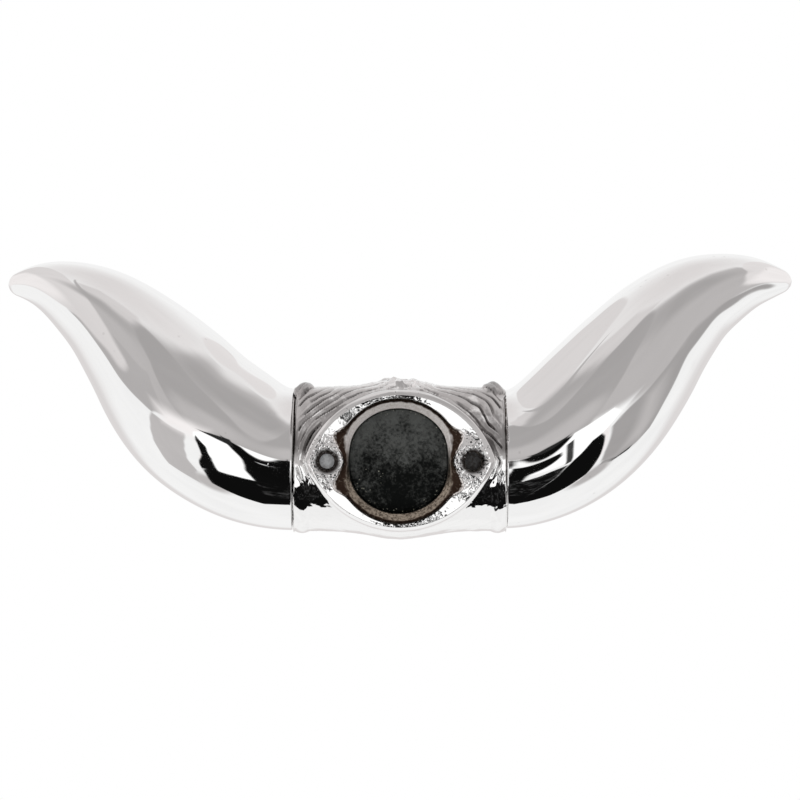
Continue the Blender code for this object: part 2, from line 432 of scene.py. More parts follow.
@dataclass(frozen=True)
class BarePocket:
    """The pocket's unplated metal: mottled dark floor with painted light high up and painted shade low down,
    tan foot with a painted highlight on its upper arc, brown wall and bright overspray.

    Most pairs are distances in millimetres, from the pocket's middle, up from it or behind the pad's
    face. Films are a size and an amount, waves and wanders a size and a rise.
    """

    floor: Colour = (0.009, 0.010, 0.0095, 1.0)
    floor_pale: Colour = (0.13, 0.136, 0.13, 1.0)
    spark: Colour = (0.60, 0.60, 0.50, 1.0)
    foot: Colour = (0.50, 0.43, 0.35, 1.0)
    # Pale plating of the overspray at the mouth, also used as the painted highlight on the foot's upper arc.
    overspray_and_highlight: Colour = (1.0, 0.96, 0.93, 1.0)
    wall: Colour = (0.045, 0.028, 0.020, 1.0)
    cloud_size: float = 10.0
    grit_size: float = 0.9
    grit: float = 0.11
    low_floor: Pair = (-16.0, 2.0)
    low_shade: Pair = (-0.13, 0.03)
    # Painted light: where and how much the floor is lightened high up near its rim.
    floor_light_ring: Pair = (11.0, 18.5)
    floor_light_rise: Pair = (-12.0, 6.0)
    floor_light: float = 0.22
    mottle: Pair = (0.34, 0.78)
    spark_size: float = 0.75
    spark_depth: float = 0.05
    spark_ring: Pair = (14.0, 18.5)
    spark_coverage: Pair = (0.12, 0.5)
    spark_edge: Pair = (15.0, 18.3)
    spark_amount: Pair = (0.02, 0.6)
    spark_film_size: float = 2.4
    patch_centre: Pair = (-11.0, -6.5)
    patch_reach: Pair = (3.0, 7.0)
    patch_amount: float = 0.8
    speckle_film: Pair = (0.8, 0.45)
    foot_speckle: float = 0.8
    arc_speckle: float = 0.3
    wall_film: Pair = (1.1, 0.3)
    wall_speckle: float = 0.3
    arc_rise: Pair = (-2.0, 5.0)
    arc_wander: Pair = (3.0, 7.0)
    floor_edge: Pair = (RING_DEPTH + 0.1, RING_DEPTH + 0.4)
    floor_wander: Pair = (1.2, 0.3)
    foot_edge: Pair = (FOOT_DEPTH - 0.2, FOOT_DEPTH + 0.1)
    foot_wander: Pair = (1.6, 0.4)
    overspray: Pair = (0.5, 0.9)
    overspray_wander: Pair = (0.9, 1.0)
    roughness: Pair = (0.42, 0.12)
    waves: tuple[Pair, ...] = ((2.8, 0.12), (0.6, 0.06))

    def floor_colour(self, finish: Finish, away: Socket) -> tuple[Socket, Socket]:
        """Paint the floor, with painted light high up near its rim and painted shade low down.

        Args:
            finish: the finish under way.
            away: distance from the pocket's middle, in millimetres.

        Returns:
            The floor's colour and the height of its sparks.
        """
        graph = finish.graph
        cloud = graph.noise(finish.place, 1.0 / (self.cloud_size * MM), detail=6.0, roughness=0.6)
        grit = graph.noise(finish.place, 1.0 / (self.grit_size * MM), roughness=0.7)
        # Painted light: the floor is lighter high up near its rim, and painted shade darkens it low down.
        floor_light = graph.ramp(finish.z, *self.floor_light_rise, 0.0, self.floor_light)
        floor_light = graph.times(graph.ramp(away, *self.floor_light_ring), floor_light)
        shade = graph.plus(cloud, graph.ramp(finish.z, *self.low_floor, *self.low_shade), floor_light,
                           graph.ramp(grit, 0.3, 0.7, -self.grit, self.grit))
        coverage = graph.ramp(away, *self.spark_ring, *self.spark_coverage)
        sparks, height = finish.pits(self.spark_size, coverage, self.spark_depth)
        patch = graph.fade(finish.from_axis(*self.patch_centre), *self.patch_reach)
        amount = graph.highest(graph.ramp(away, *self.spark_edge, *self.spark_amount),
                               graph.times(patch, self.patch_amount))
        sparkle = graph.times(sparks, finish.film(self.spark_film_size, amount))
        mottled = graph.blend(graph.ramp(shade, *self.mottle), self.floor, self.floor_pale)
        return graph.blend(sparkle, mottled, self.spark), height

    def material(self, effects: Effects) -> bpy.types.Material:
        """Build the finish."""
        finish = Finish("bare_pocket", effects)
        graph = finish.graph
        floor, spark_height = self.floor_colour(finish, finish.from_axis(POCKET_CENTRE, 0.0))
        speckle = finish.film(*self.speckle_film)
        # Painted highlight: the foot's upper arc is painted near white and made non-metallic so that it shows
        # bright, while the lower foot keeps its tan.
        upper = graph.ramp(graph.plus(finish.z, finish.ripple(*self.arc_wander)), *self.arc_rise)
        lower_foot = graph.blend(graph.times(speckle, self.foot_speckle), self.foot, self.wall)
        arc_highlight = graph.blend(graph.times(speckle, self.arc_speckle), self.overspray_and_highlight, self.foot)
        foot = graph.blend(upper, lower_foot, arc_highlight)
        wall = graph.blend(graph.times(finish.film(*self.wall_film), self.wall_speckle), self.wall, self.foot)
        on_foot = graph.fade(graph.plus(finish.y, finish.ripple(*self.floor_wander)), *self.floor_edge)
        deep = graph.ramp(graph.plus(finish.y, finish.ripple(*self.foot_wander)), *self.foot_edge)
        base = graph.blend(on_foot, floor, graph.blend(deep, wall, foot))
        mouth = graph.fade(graph.plus(finish.y, finish.ripple(*self.overspray_wander)), *self.overspray)
        highlight_arc = graph.times(deep, on_foot, upper)
        finish.set(base_color=graph.blend(mouth, base, self.overspray_and_highlight), metallic=graph.between(highlight_arc, 1.0, 0.0),
                   coat_weight=highlight_arc, roughness=graph.between(mouth, *self.roughness))
        finish.bump(self.waves, spark_height)
        return finish.material


@dataclass(frozen=True)
class ScrewBore:
    """Inside of the screw holes: a dark threaded wall, with a pale plug on the left and a dark one right."""

    wall: Colour = (0.05, 0.045, 0.04, 1.0)
    pale: Colour = (0.62, 0.64, 0.65, 1.0)
    dull: Colour = (0.10, 0.10, 0.10, 1.0)
    mottle_film: Pair = (1.1, 0.5)
    mottle: float = 0.35
    floor_start: Pair = (1.1, 1.5)
    thread_pitch: float = 0.8
    thread_depth: float = 0.05
    waves: tuple[Pair, ...] = ((0.8, 0.12),)

    def material(self, effects: Effects) -> bpy.types.Material:
        """Build the finish."""
        finish = Finish("screw_bore", effects)
        graph = finish.graph
        left = graph.math("LESS_THAN", finish.x, 0.0)
        mottle = finish.film(*self.mottle_film)
        plug = graph.blend(left, graph.blend(mottle, self.wall, self.dull), self.pale)
        plug = graph.blend(graph.times(mottle, self.mottle), plug, self.dull)
        on_floor = graph.ramp(finish.y, *self.floor_start)
        finish.set(base_color=graph.blend(on_floor, self.wall, plug), metallic=0.6, roughness=0.5)
        turns = graph.math("SINE", graph.times(finish.y, math.tau / self.thread_pitch))
        finish.bump(self.waves, graph.times(turns, self.thread_depth))
        return finish.material


@dataclass(frozen=True)
class StudioPaper:
    """Pale sweep of the floor, faded out between two distances from its middle in millimetres."""

    colour: Colour = (0.93, 0.93, 0.93, 1.0)
    clouded: Colour = (0.86, 0.86, 0.87, 1.0)
    cloud_film: Pair = (90.0, 0.5)
    cloud: float = 0.02
    fade: Pair = (170.0, 350.0)
    glow: float = 0.2

    def material(self, effects: Effects) -> bpy.types.Material:
        """Build the finish."""
        finish = Finish("studio_paper", effects)
        graph = finish.graph
        flat = graph.node("ShaderNodeCombineXYZ", finish.x, finish.y, 0.0).outputs[0]
        cloud = graph.between(finish.film(*self.cloud_film), 0.0, self.cloud)
        finish.set(base_color=graph.blend(cloud, self.colour, self.clouded), roughness=0.8,
                   specular_ior_level=0.2, alpha=graph.fade(graph.measure("LENGTH", flat), *self.fade),
                   emission_color=WHITE, emission_strength=self.glow)
        return finish.material


class RingSkin:
    """A closed skin that grows ring by ring from the edge of one circle."""

    def __init__(self, sides: int) -> None:
        """Start with a capped circle whose vertices know their place in the ring.

        Args:
            sides: number of vertices in every ring.
        """
        self.sides = sides
        self.bm = bmesh.new()
        self.place = self.bm.verts.layers.int.new("place")
        ring = bmesh.ops.create_circle(self.bm, segments=sides, radius=1.0, cap_ends=True)["verts"]
        for number, vert in enumerate(ring):
            vert[self.place] = number
        self.edges = list(self.bm.edges)
        self.started = False

    def grow(self, point: Point, zone: Zone = Zone.PLATED) -> None:
        """Add one ring, or shape the first one.

        Args:
            point: gives the place in metres of the vertex at an angle in radians.
            zone: material slot of the strip of faces that leads to the ring.
        """
        if self.started:
            made = bmesh.ops.extrude_edge_only(self.bm, edges=self.edges)["geom"]
            for item in made:
                if isinstance(item, bmesh.types.BMFace):
                    item.material_index = zone
            fresh = {item for item in made if isinstance(item, bmesh.types.BMVert)}
            edges = [item for item in made if isinstance(item, bmesh.types.BMEdge)]
            self.edges = [edge for edge in edges if set(edge.verts) <= fresh]
        self.started = True
        for vert in {vert for edge in self.edges for vert in edge.verts}:
            vert.co = point(math.tau * vert[self.place] / self.sides)

    def paint_cap(self, zone: Zone) -> None:
        """Give the first cap a material slot."""
        self.bm.faces.ensure_lookup_table()
        self.bm.faces[0].material_index = zone

    def close(self, name: str) -> bpy.types.Mesh:
        """Cap the last ring and return the skin as a smooth mesh.

        Args:
            name: name of the new mesh.

        Returns:
            The closed mesh, with its faces pointing outwards.
        """
        bmesh.ops.edgeloop_fill(self.bm, edges=self.edges)
        bmesh.ops.recalc_face_normals(self.bm, faces=self.bm.faces)
        mesh = bpy.data.meshes.new(name)
        self.bm.to_mesh(mesh)
        self.bm.free()
        mesh.shade_smooth()
        return mesh


@dataclass(frozen=True)
class Station:
    """One measured place on a horn's axis, in millimetres, and the radius there."""

    out: float
    depth: float
    height: float
    radius: float

    def blend(self, other: "Station", share: float) -> "Station":
        """Return the place that lies a share of the way to the other station."""
        return Station(*(a + (b - a) * share for a, b in zip(self.values(), other.values())))

    def values(self) -> tuple[float, float, float, float]:
        """Return the four numbers of the station."""
        return (self.out, self.depth, self.height, self.radius)


@dataclass
class Horn:
    """One polished horn, swept along a smooth axis and plugged into the collar."""

    name: str
    side: Side
    root_radius: float
    stations: tuple[Station, ...]
    collar_end: float = 36.7
    axis_depth: float = 30.0
    gap: float = 0.3
    spigot_radius: float = 22.6
    spigot_length: float = 2.6
    spigot_chamfer: float = 0.5
    edge_round: float = 0.8
    edge_rings: int = 6
    tip_length: float = 2.9
    tip_fullness: float = 0.995
    sides: int = 160
    step: float = 0.9
    relax_length: float = 5.0

    def axis(self) -> list[Station]:
        """Return evenly spaced places on the relaxed axis, from the shoulder to the tip."""
        shoulder = self.collar_end + self.gap
        root = Station(shoulder, self.axis_depth, 0.0, self.root_radius)
        knots = (root, *self.stations)
        mirrored = [Station(2.0 * shoulder - k.out, k.depth, k.height, k.radius) for k in knots[3:0:-1]]
        heading = [a - b for a, b in zip(knots[-1].values(), knots[-2].values())]
        reach = math.hypot(*heading[:3])
        beyond = [
            Station(*(v + h * self.tip_length * n / reach for v, h in zip(knots[-1].values(), heading)))
            for n in range(1, 7)
        ]
        track = self.spaced(self.interpolated([*mirrored, *knots, *beyond]))
        relaxed = self.relaxed(track)
        start = min(range(len(relaxed)), key=lambda n: abs(relaxed[n].out - shoulder))
        end_out = self.stations[-1].out + self.tip_length * heading[0] / reach
        return [place for place in relaxed[start:] if place.out < end_out]

    @staticmethod
    def interpolated(knots: list[Station], between: int = 24) -> list[Station]:
        """Return closely spaced places on a smooth curve through the knots."""
        places = []
        for number in range(1, len(knots) - 2):
            a, b, c, d = (knot.values() for knot in knots[number - 1:number + 3])
            for count in range(between):
                t = count / between
                places.append(Station(*(
                    0.5 * (2 * q + (r - p) * t + (2 * p - 5 * q + 4 * r - s) * t ** 2
                           + (3 * q - p - 3 * r + s) * t ** 3)
                    for p, q, r, s in zip(a, b, c, d)
                )))
        return places

    def spaced(self, places: list[Station]) -> list[Station]:
        """Return places one step apart along the given ones."""
        kept = [places[0]]
        left = self.step
        for before, after in zip(places, places[1:]):
            span = math.dist(before.values()[:3], after.values()[:3])
            while span >= left:
                kept.append(before.blend(after, left / span))
                left += self.step
            left -= span
        return kept

    def relaxed(self, places: list[Station]) -> list[Station]:
        """Return the places averaged with their neighbours, so that no bend starts abruptly."""
        reach = int(2.0 * self.relax_length / self.step)
        weights = [bell(n * self.step, self.relax_length) for n in range(-reach, reach + 1)]
        total = sum(weights)
        return [
            Station(*(
                sum(w * p.values()[axis] for w, p in zip(weights, places[n - reach:n + reach + 1])) / total
                for axis in range(4)
            ))
            for n in range(reach, len(places) - reach)
        ]

    def frame_at(self, places: list[Station], number: int) -> Matrix:
        """Return the section's own axes at one place: across, depthwise and along the horn."""
        before = places[max(number - 1, 0)]
        after = places[min(number + 1, len(places) - 1)]
        along = Vector(after.values()[:3]) - Vector(before.values()[:3])
        along.normalize()
        across = Vector((0.0, 1.0, 0.0)).cross(along).normalized()
        depth = along.cross(across)
        turn = Matrix((across, depth, along)).transposed().to_4x4()
        return Matrix.Translation(Vector(places[number].values()[:3])) @ turn

    def section(self, matrix: Matrix, radius: float, angle: float) -> Vector:
        """Return a place on one round section, mirrored to this horn's side."""
        flip = Matrix.Diagonal((self.side.value * MM, MM, MM, 1.0))
        return flip @ matrix @ Vector((radius * math.cos(angle), radius * math.sin(angle), 0.0))

    def build(self) -> bpy.types.Object:
        """Make the horn's mesh and object."""
        places = self.axis()
        root = self.frame_at(places, 0)
        skin = RingSkin(self.sides)
        spigot_end = self.spigot_length + self.gap
        for back, radius in ((spigot_end, self.spigot_radius - self.spigot_chamfer),
                             (spigot_end - self.spigot_chamfer, self.spigot_radius),
                             (0.0, self.spigot_radius)):
            skin.grow(partial(self.section, root @ Matrix.Translation((0.0, 0.0, -back)), radius))
        for count in range(self.edge_rings):
            angle = 0.5 * math.pi * count / (self.edge_rings - 1)
            lift = self.edge_round * (1.0 - math.cos(angle))
            radius = places[0].radius - self.edge_round * (1.0 - math.sin(angle))
            skin.grow(partial(self.section, root @ Matrix.Translation((0.0, 0.0, lift)), radius))
        length = self.step * (len(places) - 1)
        for number, place in enumerate(places):
            run = number * self.step
            if run <= self.edge_round:
                continue
            cap = min(max((run - length + self.tip_length) / self.tip_length, 0.0), self.tip_fullness)
            radius = place.radius * math.sqrt(1.0 - cap * cap)
            skin.grow(partial(self.section, self.frame_at(places, number), radius))
        return link_object(self.name, skin.close(self.name))


def link_object(name: str, mesh: bpy.types.Mesh) -> bpy.types.Object:
    """Link the mesh to the scene as an object at the origin."""
    item = bpy.data.objects.new(name, mesh)
    bpy.context.scene.collection.objects.link(item)
    return item


@dataclass
class Barrel:
    """The hide-wrapped barrel of the centre casting, in millimetres."""

    half_length: float = 36.7
    axis_depth: float = 30.0
    radius: float = 25.3
    front_bulge: float = 2.4
    tuft_height: float = 2.9
    tuft_width: float = 10.5
    tufts: tuple[Pair, ...] = ((1.5, 1.1), (3.4, 1.0))
    belly_height: float = 3.0
    belly_width: float = 14.0
    lip_width: float = 5.0
    lip_height: float = 0.2
    low_lip_height: float = 0.6
    lip_lean: float = 0.8
    knuckle_turn: float = 70.0
    knuckle_inset: float = 3.2
    knuckle_offset: float = 0.6
    knuckle_reach: float = 1.2
    knuckle_shade: float = 0.6
    knuckle_size: float = 4.1
    knuckle_height: float = 2.2
    shoulder_share: float = 0.085
    shoulder_rise: Pair = (12.0, 65.0)
    shoulder_fall: Pair = (65.0, 95.0)
    fold_pitch: float = 2.7
    pleat_height: float = 0.9
    fold_depth: float = 0.6
    fold_width: float = 0.36
    fold_wander: Pair = (15.0, 2.4)
    fold_waver: Pair = (5.0, 0.7)
    calm_below: float = 0.98
    crest: float = 0.86
    swell: float = 0.35
    hammered: tuple[float, float, float] = (3.6, 0.14, 5.0)
    grain: Pair = (0.9, 0.04)
    socket_radius: float = 22.9
    socket_depth: float = 2.9
    rim_radius: float = 25.2
    rim_step: float = 0.1
    lip_roll: tuple[Pair, ...] = ((0.0, 0.12), (0.3, 0.3), (0.25, 0.62))
    pad_overlap: float = 1.5
    pad_sink: float = 2.0
    sides: int = 288
    rings: int = 190
    crowding: float = 0.31 * math.pi

    def fold_place(self, place: Vector, x: float, turn: float, pad: "MountingPad") -> tuple[float, float]:
        """Return how many folds out from the pad a place lies, and how deep the folds are there."""
        around = abs(turn) * self.radius
        ring = math.hypot(x, around + pad.arc_radius - pad.half_height) - pad.arc_radius
        size, height = self.fold_waver
        waver = height * noise.noise(place / size + Vector((3.0, 9.0, 1.0)))
        wander = bumps(place, *self.fold_wander) + waver
        below = smooth_step(-2.5 * math.sin(turn)) * smooth_step(1.0 + 2.0 * math.cos(turn))
        inside_lip = smooth_step((self.half_length - 0.4 - abs(x)) / 1.2)
        return (ring + wander) / self.fold_pitch, (1.0 - self.calm_below * below) * inside_lip

    def crease(self, place: Vector, count: float) -> float:
        """Return how close a place lies to the nearest crease, from 0 to 1."""
        nearest = round(count)
        strength = smooth_step(0.8 + 1.5 * noise.noise(place / 8.0 + Vector((0.0, nearest * 5.3, 2.0))))
        return bell((count - nearest) * self.fold_pitch, self.fold_width) * strength

    def fold_height(self, place: Vector, x: float, turn: float, pad: "MountingPad") -> float:
        """Return the height of the hide's pleats, each rising outwards and dropping into a crease."""
        count, share = self.fold_place(place, x, turn, pad)
        within = count + 0.5 - math.floor(count + 0.5)
        pleat = within - smooth_step((within - self.crest) / (1.0 - self.crest)) - self.crest / 2.0
        uneven = 0.75 + 0.7 * noise.noise(place / 9.0 + Vector((round(count) * 3.1, 0.0, 8.0)))
        swell = noise.noise(Vector((count * self.fold_pitch, x * 0.3, turn * 4.0)) / 3.6)
        height = self.pleat_height * pleat * uneven - self.fold_depth * self.crease(place, count + 0.5)
        return (height + self.swell * swell) * share

    def surface_radius(self, x: float, turn: float, pad: "MountingPad") -> float:
        """Return the barrel's radius at x along it and a turn round it."""
        upward, away = math.sin(turn), -math.cos(turn)
        place = self.mark(x, turn)
        front = self.front_bulge * (1.0 - (x / self.half_length) ** 2) * smooth_step(away)
        crown = bell(x, self.tuft_width) * smooth_step(2.0 * upward - 0.9)
        tufts = sum(bumps(place, *scale) for scale in self.tufts)
        belly = self.belly_height * bell(x, self.belly_width) * smooth_step(-2.0 * upward - 0.9)
        from_edge = min((self.half_length - abs(x)) / self.lip_width, 1.0)
        low = self.low_lip_height * smooth_step(-3.0 * upward - 1.6)
        lip = (self.lip_height + low) * math.sin(math.pi * from_edge)
        degrees = math.degrees(turn)
        shoulder = eased(degrees, *self.shoulder_rise) * (1.0 - eased(degrees, *self.shoulder_fall))
        bulge = self.shoulder_share * self.radius * shoulder * smooth_step(from_edge)
        relief = bumps(place, *self.hammered) + bumps(place, *self.grain)
        return (self.radius + front + crown * (self.tuft_height + tufts) + belly + lip + bulge
                + self.knuckle(x, turn) + relief + self.fold_height(place, x, turn, pad))

    def mark(self, x: float, turn: float) -> Vector:
        """Return the point of a plain cylinder that carries the noise at x and a turn."""
        return Vector((x, self.radius * math.cos(turn), self.radius * math.sin(turn)))

    def store_crease_shade(self, mesh: bpy.types.Mesh, pad: "MountingPad") -> None:
        """Store on every vertex of the casting how deep it lies in a crease and how high on a knuckle, as
        painted shade for the finish.
        """
        layer = mesh.attributes.new("crease", "FLOAT", "POINT")
        for vert, value in zip(mesh.vertices, layer.data):
            x, y, z = vert.co / MM
            if y < pad.depth and pad.distance_inside(x, z) > -pad.flare - 0.1:
                continue
            turn = math.atan2(z, self.axis_depth - y)
            place = self.mark(x, turn)
            count, share = self.fold_place(place, x, turn, pad)
            dark = self.crease(place, count + 0.5) * share
            value.value = max(dark, self.knuckle_shade * self.knuckle(x, turn) / self.knuckle_height)

    def knuckle(self, x: float, turn: float) -> float:
        """Return the height of the round knuckle at the top of each lip."""
        along = self.half_length - self.knuckle_inset - abs(x) - math.copysign(self.knuckle_offset, x)
        around = (turn - math.radians(self.knuckle_turn)) * self.radius
        away = math.hypot(along, around) / self.knuckle_size
        return self.knuckle_height * math.sqrt(max(1.0 - away * away, 0.0))

    def reach(self, side: float, turn: float) -> float:
        """Return how far out the lip's edge stands: it leans inward above and outward below."""
        wave = 0.35 * noise.noise(Vector((side * 4.0, math.cos(turn) * 2.2, math.sin(turn) * 2.2)))
        around = (turn - math.radians(self.knuckle_turn)) * self.radius
        beyond = self.knuckle_reach * bell(around, self.knuckle_size)
        return self.half_length - self.lip_lean * math.sin(turn) + wave + beyond

    def around(self, x: float, radius: float, turn: float) -> Vector:
        """Return the place in metres at x, a radius from the barrel's axis and a turn round it."""
        return Vector((x, self.axis_depth - radius * math.cos(turn), radius * math.sin(turn))) * MM

    def surface_place(self, x: float, pad: "MountingPad", angle: float) -> Vector:
        """Return a place on the barrel's surface at x, sunk where the pad covers it."""
        turn = angle - math.pi
        share = abs(x) / self.half_length
        leant = x * (1.0 + (self.reach(math.copysign(1.0, x), turn) / self.half_length - 1.0) * share ** 4)
        place = self.around(leant, self.surface_radius(x, turn, pad), turn)
        depth = pad.depth * MM
        if place.y < depth and pad.distance_inside(leant, place.z / MM) > self.pad_overlap:
            place.y = max(place.y, depth - self.pad_sink * MM)
        return place

    def lip_place(self, side: Side, outward: float, lift: float, angle: float) -> Vector:
        """Return a place on the rolled end of the lip, above the horn's root."""
        turn = angle - math.pi
        x = side.value * (self.reach(side.value, turn) + outward)
        return self.around(x, self.rim_radius + lift, turn)

    def socket_place(self, x: float, radius: float, angle: float) -> Vector:
        """Return a place on a plain ring of the socket that holds a horn."""
        return self.around(x, radius, angle - math.pi)

    def end_rings(self, side: Side) -> list[Point]:
        """Return the rings of one end, from the socket's floor to the top of the rolled lip."""
        end = side.value * self.half_length
        floor = end - side.value * self.socket_depth
        rim = self.rim_radius - self.rim_step
        socket = ((floor, self.socket_radius), (end, self.socket_radius), (end, rim))
        return [*(partial(self.socket_place, x, radius) for x, radius in socket),
                *(partial(self.lip_place, side, outward, lift) for outward, lift in self.lip_roll)]

    def mesh(self, pad: "MountingPad") -> bpy.types.Mesh:
        """Grow the barrel from the left socket's floor to the right one's, its rings closer at the ends."""
        skin = RingSkin(self.sides)
        for ring in self.end_rings(Side.LEFT):
            skin.grow(ring)
        for count in range(self.rings + 1):
            share = math.sin(self.crowding * (2.0 * count / self.rings - 1.0)) / math.sin(self.crowding)
            skin.grow(partial(self.surface_place, self.half_length * share, pad))
        for ring in reversed(self.end_rings(Side.RIGHT)):
            skin.grow(ring)
        return skin.close("barrel")


@dataclass
class MountingPad:
    """The flat pointed-oval pad with its pocket, in millimetres. Its face lies at y = 0."""

    half_height: float = 23.6
    arc_radius: float = 34.0
    flare: float = 2.0
    depth: float = 20.0
    face_inset: float = 0.6
    dish_slope: float = 0.15
    shingle: float = 1.4
    shingle_slope: float = 0.07
    pocket_radius: float = 21.9
    pocket_depth: float = 14.0
    floor_radius: float = 18.4
    floor_half_width: float = 18.0
    foot_width: float = 0.4
    foot_growth: float = 1.8
    mouth_bevel: float = 0.4
    pocket_bumps: tuple[Pair, ...] = ((2.6, 1.0), (0.9, 0.5))
    wall_grit: float = 0.1
    foot_grit: float = 0.14
    ear_reach: float = 2.6
    ear_angle: float = 22.5
    ear_spread: float = 8.0
    bite_reach: float = 2.6
    bite_spread: float = 11.0
    face_bumps: tuple[Pair, ...] = ((0.75, 0.5), (1.5, 0.4))
    grain: float = 0.13
    burr: float = 0.1
    rough_ends: Pair = (6.5, 13.0)
    back_wave: Pair = (4.0, 0.2)
    band_outset: Pair = (1.0, 0.3)
    band_drop: Pair = (0.75, 1.7)
    sides: int = 512
    floor_rings: int = 18
    wall_rings: int = 5
    foot_rings: int = 10
    rise_rings: int = 14
    face_rings: int = 28
    band_rings: int = 8
    back_rings: int = 12

    def distance_inside(self, x: float, z: float) -> float:
        """Return how far inside the pad's outline a point of the face lies."""
        return self.arc_radius - math.hypot(x, abs(z) + self.arc_radius - self.half_height)

    def outline(self, angle: float, outset: float) -> float:
        """Return the distance from the middle to the pointed oval, grown by the outset."""
        centre = self.arc_radius - self.half_height
        rise = math.sqrt(math.sin(angle) ** 2 + 0.0016)
        reach = (self.arc_radius + outset) ** 2 - centre ** 2
        return math.sqrt((centre * rise) ** 2 + reach) - centre * rise

    def mouth(self, angle: float) -> float:
        """Return the radius of the pocket's mouth, with its ears and bites."""
        folded = math.degrees(math.atan2(abs(math.sin(angle)), abs(math.cos(angle))))
        ear = self.ear_reach * bell(folded - self.ear_angle, self.ear_spread)
        return self.pocket_radius + ear - self.bite_reach * bell(folded, self.bite_spread)

    def floor_edge(self, angle: float) -> float:
        """Return the radius of the pocket's floor, a circle with flattened sides."""
        side = (abs(math.cos(angle)) / self.floor_half_width) ** 16
        return (side + (1.0 / self.floor_radius) ** 16) ** (-1.0 / 16.0)

    def foot_edge(self, angle: float) -> float:
        """Return the radius of the outer edge of the foot that rings the floor, widest below."""
        upper = smooth_step(1.6 * math.sin(angle))
        lower = smooth_step(-1.6 * math.sin(angle))
        return self.floor_edge(angle) + self.foot_width + self.foot_growth * (upper + lower)

    def pocket_place(self, radius: float, depth: float, rough: float, angle: float) -> Vector:
        """Return a place in the pocket, a radius from its middle and roughly at a depth."""
        place = Vector((POCKET_CENTRE + radius * math.cos(angle), depth, radius * math.sin(angle)))
        rise = rough * sum(bumps(place, *scale) for scale in self.pocket_bumps)
        return (place + Vector((0.0, rise, 0.0))) * MM

    def floor_place(self, share: float, angle: float) -> Vector:
        """Return a place on the pocket's floor, from the middle at share 0 to the edge at 1."""
        return self.pocket_place(self.floor_edge(angle) * share, self.pocket_depth, self.wall_grit, angle)

    def deep_place(self, share: float, angle: float) -> Vector:
        """Return a place on the wall that rises from the floor at share 0 to the sloping foot at 1."""
        depth = self.pocket_depth + (RING_DEPTH - self.pocket_depth) * share
        return self.pocket_place(self.floor_edge(angle), depth, self.wall_grit, angle)

    def foot_place(self, share: float, angle: float) -> Vector:
        """Return a place on the sloping foot, from its inner edge at share 0 to its outer one at 1."""
        inner = self.floor_edge(angle)
        depth = RING_DEPTH - (RING_DEPTH - FOOT_DEPTH) * share
        radius = inner + (self.foot_edge(angle) - inner) * share
        return self.pocket_place(radius, depth, self.foot_grit, angle)

    def rise_place(self, share: float, angle: float) -> Vector:
        """Return a place on the wall that rises from the foot at share 0 to the mouth at 1."""
        inner = self.foot_edge(angle)
        depth = FOOT_DEPTH * (1.0 - share) + self.mouth_bevel * share
        radius = inner + (self.mouth(angle) - inner) * share ** 0.7
        return self.pocket_place(radius, depth, self.wall_grit * (1.0 - share), angle)

    def face_depth(self, x: float, z: float, share: float, angle: float, width: float) -> float:
        """Return how far the cast face lies behind the pad's plane.

        Args:
            x: place across the face.
            z: place up the face.
            share: how far the place lies from the mouth, at 0, to the outer edge, at 1.
            angle: the place's angle round the middle.
            width: width of the face there.

        Returns:
            The depth of the dish, the shingled grain and the burrs, in millimetres.
        """
        upper = smooth_step(3.0 * math.sin(angle) - 0.6)
        lower = smooth_step(-3.0 * math.sin(angle) - 0.6)
        dish = self.dish_slope * width * ((1.0 - share) * upper + share * lower)
        from_hole = math.hypot(abs(x) - SCREW_SPACING / 2.0, z)
        ends = 1.0 - eased(from_hole, *self.rough_ends)
        place = Vector((x, 7.0, z))
        grit = 0.5 + sum(bumps(place, *scale) for scale in self.face_bumps)
        crest = smooth_step((abs(math.sin(angle)) - 0.8) / 0.1) * bell(share - 0.45, 0.22)
        rough = 0.08 + 0.5 * ends + 0.5 * crest + 0.25 * lower
        step = -z / self.shingle + 1.6 * noise.noise(place / 2.1)
        shingle = self.shingle_slope * self.shingle * (step - math.floor(step)) * ends
        burr = bell(from_hole - 3.4, 0.8) * (0.7 * self.burr + bumps(place, 1.1, self.burr))
        return max(dish + shingle + self.grain * rough * max(grit, 0.0) + max(burr, 0.0), 0.0)

    def face_place(self, share: float, angle: float) -> Vector:
        """Return a place on the flat face, from the mouth at share 0 to the outer edge at 1."""
        inner = self.mouth(angle) + 0.15
        outer = self.outline(angle, -self.face_inset)
        start = Vector((POCKET_CENTRE + inner * math.cos(angle), 0.0, inner * math.sin(angle)))
        finish = Vector((outer * math.cos(angle), 0.0, outer * math.sin(angle)))
        place = start.lerp(finish, share)
        place.y = self.face_depth(place.x, place.z, share, angle, (finish - start).length)
        return place * MM

    def band_end(self, angle: float) -> tuple[float, float]:
        """Return the outset and the depth where the sloping band round the face ends."""
        lower = smooth_step(-2.2 * math.sin(angle))
        outset, low_outset = self.band_outset
        drop, low_drop = self.band_drop
        return outset + (low_outset - outset) * lower, drop + (low_drop - drop) * lower

    def band_place(self, share: float, angle: float) -> Vector:
        """Return a place on the band, which slopes from the face's edge at share 0 to the outer wall at 1."""
        outset, drop = self.band_end(angle)
        radius = self.outline(angle, -self.face_inset + (outset + self.face_inset) * share)
        x, z = radius * math.cos(angle), radius * math.sin(angle)
        width = self.outline(angle, -self.face_inset) - self.mouth(angle)
        start = self.face_depth(x, z, 1.0, angle, width) * (1.0 - share)
        return Vector((x, start + drop * share ** 1.3, z)) * MM

    def back_place(self, share: float, angle: float) -> Vector:
        """Return a place on the outer wall, from the band's end at share 0 to the pad's back at 1."""
        outset, drop = self.band_end(angle)
        radius = self.outline(angle, outset + (self.flare - outset) * share ** 0.5)
        x, z = radius * math.cos(angle), radius * math.sin(angle)
        depth = drop + (self.depth - drop) * share
        wave = bumps(Vector((x, depth * 0.4, z)), *self.back_wave) * share
        return Vector((x + wave * math.cos(angle), depth, z + wave * math.sin(angle))) * MM

